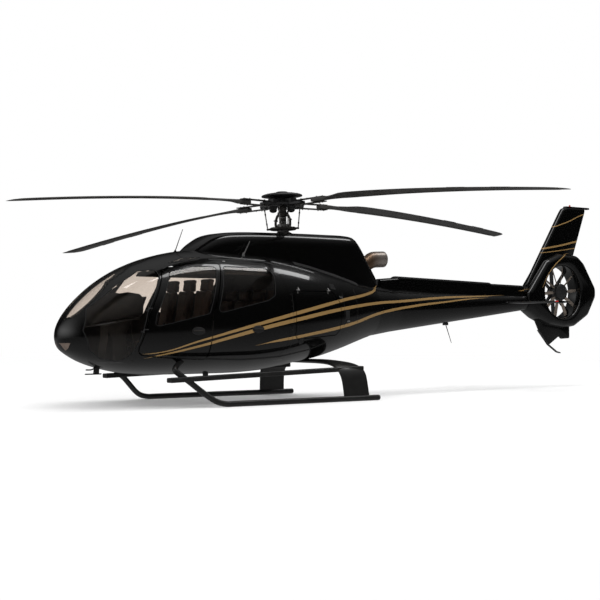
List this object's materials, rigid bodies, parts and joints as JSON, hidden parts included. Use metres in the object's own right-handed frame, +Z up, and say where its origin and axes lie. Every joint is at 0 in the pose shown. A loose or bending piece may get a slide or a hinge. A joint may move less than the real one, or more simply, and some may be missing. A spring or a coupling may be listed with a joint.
{
  "type": "helicopter",
  "caption": "Light single-engine helicopter on skids, glossy black with thin gold stripes, bronze glass, tan-brown seats and a shrouded tail rotor",
  "frame": {"origin": "Middle of the whole object's box, at the level of the skids' undersides", "axes": "+X forward along the fuselage, +Y to port, +Z up; the rotor mast stands at x 1.10"},
  "size_m": [12.4939, 10.4648, 3.4396],
  "materials": {
    "black_gloss": "gloss black paint",
    "black_satin": "satin black paint",
    "bronze_glass": "bronze tinted",
    "brown_leather": "dark brown",
    "grey_metal": "dull",
    "exhaust_steel": "heat-stained",
    "dark_trim": "matt",
    "blade_grey": "satin dark grey paint",
    "bronze_blade": "satin bronze"
  },
  "bodies": {
    "airframe": {"belly_tub": "black_gloss", "cabin_frame": "black_gloss", "cowl_front": "black_gloss", "cowl_middle": "black_gloss", "cowl_rear": "black_gloss", "driveshaft_cover": "black_gloss", "engine": "grey_metal", "engine_deck": "dark_trim", "exhaust_pipe": "exhaust_steel", "fin_and_duct": "black_gloss", "front_seat_1": "brown_leather", "front_seat_2": "brown_leather", "front_seat_3": "brown_leather", "instrument_panel": "dark_trim", "main_gearbox": "grey_metal", "rear_bulkhead": "dark_trim", "rear_fuselage": "black_gloss", "rear_seats": "brown_leather", "rear_strut": "black_satin", "roof_window_left": "bronze_glass", "roof_window_right": "bronze_glass", "side_bubble_left": "bronze_glass", "side_bubble_right": "bronze_glass", "skid_left": "black_satin", "skid_right": "black_satin", "sliding_door_left": "black_gloss", "sliding_door_right": "black_gloss", "sliding_window_left": "bronze_glass", "sliding_window_right": "bronze_glass", "stabilizer": "black_gloss", "step_board_left": "black_satin", "step_board_right": "black_satin", "tail_boom": "black_gloss", "tail_gearbox": "black_satin", "ventral_fin": "black_satin", "windshield_left": "bronze_glass", "windshield_right": "bronze_glass"},
    "main_rotor": {"rotor_mast": "grey_metal", "rotor_hub": "black_satin", "hub_cap": "black_satin", "swashplate": "grey_metal", "main_blade_1": "blade_grey", "main_blade_2": "blade_grey", "main_blade_3": "blade_grey", "main_blade_4": "blade_grey"},
    "tail_rotor_body": {"tail_rotor": "bronze_blade"},
    "port_front_door": {"front_door_left": "black_gloss", "front_window_left": "bronze_glass"},
    "starboard_front_door": {"front_door_right": "black_gloss", "front_window_right": "bronze_glass"},
    "port_baggage_door": {"baggage_door_left": "black_gloss"},
    "starboard_baggage_door": {"baggage_door_right": "black_gloss"}
  },
  "joints": [
    {"name": "main_rotor_turn", "type": "hinge", "parent": "airframe", "child": "main_rotor", "pos_m": [1.1, 0, 3.1], "axis": [0.0192, -0.0349, 0.9992], "continuous": true},
    {"name": "tail_rotor_turn", "type": "hinge", "parent": "airframe", "child": "tail_rotor_body", "pos_m": [-5.27, 0.06, 1.795], "axis": [0, 1, 0], "continuous": true},
    {"name": "port_front_door_swing", "type": "hinge", "parent": "airframe", "child": "port_front_door", "pos_m": [4.065, 0.85, 1.1], "axis": [0.2423, 0.0452, -0.9692], "range_deg": [0, 70]},
    {"name": "starboard_front_door_swing", "type": "hinge", "parent": "airframe", "child": "starboard_front_door", "pos_m": [4.065, -0.85, 1.1], "axis": [-0.2423, 0.0452, 0.9692], "range_deg": [0, 70]},
    {"name": "port_baggage_door_swing", "type": "hinge", "parent": "airframe", "child": "port_baggage_door", "pos_m": [1.43, 0.9001, 1.712], "axis": [0.987, 0.1607, 0], "range_deg": [0, 80]},
    {"name": "starboard_baggage_door_swing", "type": "hinge", "parent": "airframe", "child": "starboard_baggage_door", "pos_m": [1.43, -0.9001, 1.712], "axis": [-0.987, 0.1607, 0], "range_deg": [0, 80]}
  ]
}
